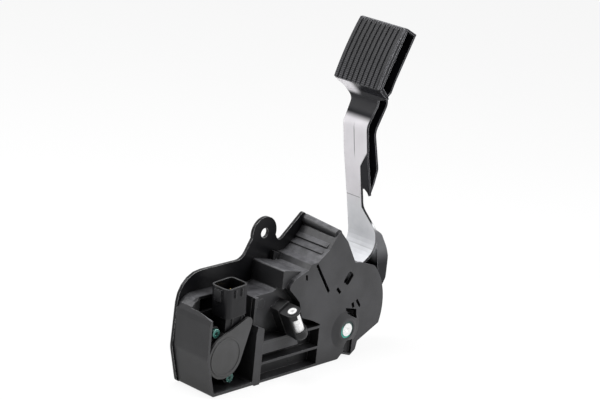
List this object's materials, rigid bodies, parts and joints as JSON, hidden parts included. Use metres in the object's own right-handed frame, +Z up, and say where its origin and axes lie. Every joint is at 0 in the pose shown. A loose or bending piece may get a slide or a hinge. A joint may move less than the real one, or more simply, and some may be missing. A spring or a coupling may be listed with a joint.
{
  "type": "accelerator pedal",
  "caption": "Moulded accelerator pedal with a ribbed rubber pad, steel side plate, pivoting channel arm, twin return springs, link and rotary position sensor.",
  "frame": {"origin": "the pivot axis where it meets the flat mounting face of the steel side plate", "axes": "X along the housing from the sensor end towards the pad side, Y out of the mounting face into the vehicle, Z up"},
  "size_m": [0.2295, 0.0632, 0.306],
  "materials": {
    "black_steel": "satin black coated sheet steel",
    "grey_moulding": "fine grained glass-filled moulding",
    "black_plastic": "smooth black moulding",
    "pale_plastic": "smooth natural bearing plastic",
    "bush_plastic": "smooth teal bearing plastic",
    "rubber": "matt moulded rubber",
    "bright_steel": "turned zinc plated steel",
    "coated_steel": "green thread-lock coated steel",
    "spring_steel": "bare spring steel",
    "brass": "tinned brass pins",
    "board": "green resin board",
    "magnet": "nickel plated magnet"
  },
  "bodies": {
    "base": {"mounting_plate": "black_steel", "housing": "grey_moulding", "near_bush": "bush_plastic", "far_bush": "bush_plastic", "plate_screws": "bright_steel", "slanted_pin": "bright_steel", "rest_bumper": "rubber", "travel_bumper": "rubber", "spring_cap": "pale_plastic", "outer_return_spring": "spring_steel", "inner_return_spring": "spring_steel", "sensor_body": "black_plastic", "sensor_cover": "grey_moulding", "sensor_screws": "coated_steel", "connector_pins": "brass", "sensor_board": "board", "rotor_seal": "rubber"},
    "arm": {"pedal_arm": "grey_moulding", "pedal_pad": "rubber", "pivot_shaft": "bright_steel", "friction_washer": "pale_plastic", "disc_spring": "spring_steel", "spring_seat": "pale_plastic", "crank_stud": "bright_steel"},
    "link": {"drive_link": "black_plastic", "link_clip": "spring_steel"},
    "rotor": {"sensor_rotor": "black_plastic", "rotor_magnet": "magnet", "lever_stud": "bright_steel"}
  },
  "joints": [
    {"name": "pedal_hinge", "type": "hinge", "parent": "base", "child": "arm", "pos_m": [0, 0, 0], "axis": [0, 1, 0], "range_deg": [0, 17], "stiffness_Nm_per_rad": 6, "springref_deg": -20.05, "deforming": ["outer_return_spring", "inner_return_spring"]},
    {"name": "link_hinge", "type": "hinge", "parent": "arm", "child": "link", "pos_m": [-0.00498, 0, 0.01999], "axis": [0, 1, 0], "range_deg": [-17.5, 0.5]},
    {"name": "rotor_hinge", "type": "hinge", "parent": "base", "child": "rotor", "pos_m": [-0.148, 0, 0.0045], "axis": [0, 1, 0], "range_deg": [-0.5, 17.5]}
  ],
  "couplings": [
    {"joint": "link_hinge", "follows": "pedal_hinge", "ratio": -1},
    {"joint": "rotor_hinge", "follows": "pedal_hinge", "ratio": 1}
  ]
}
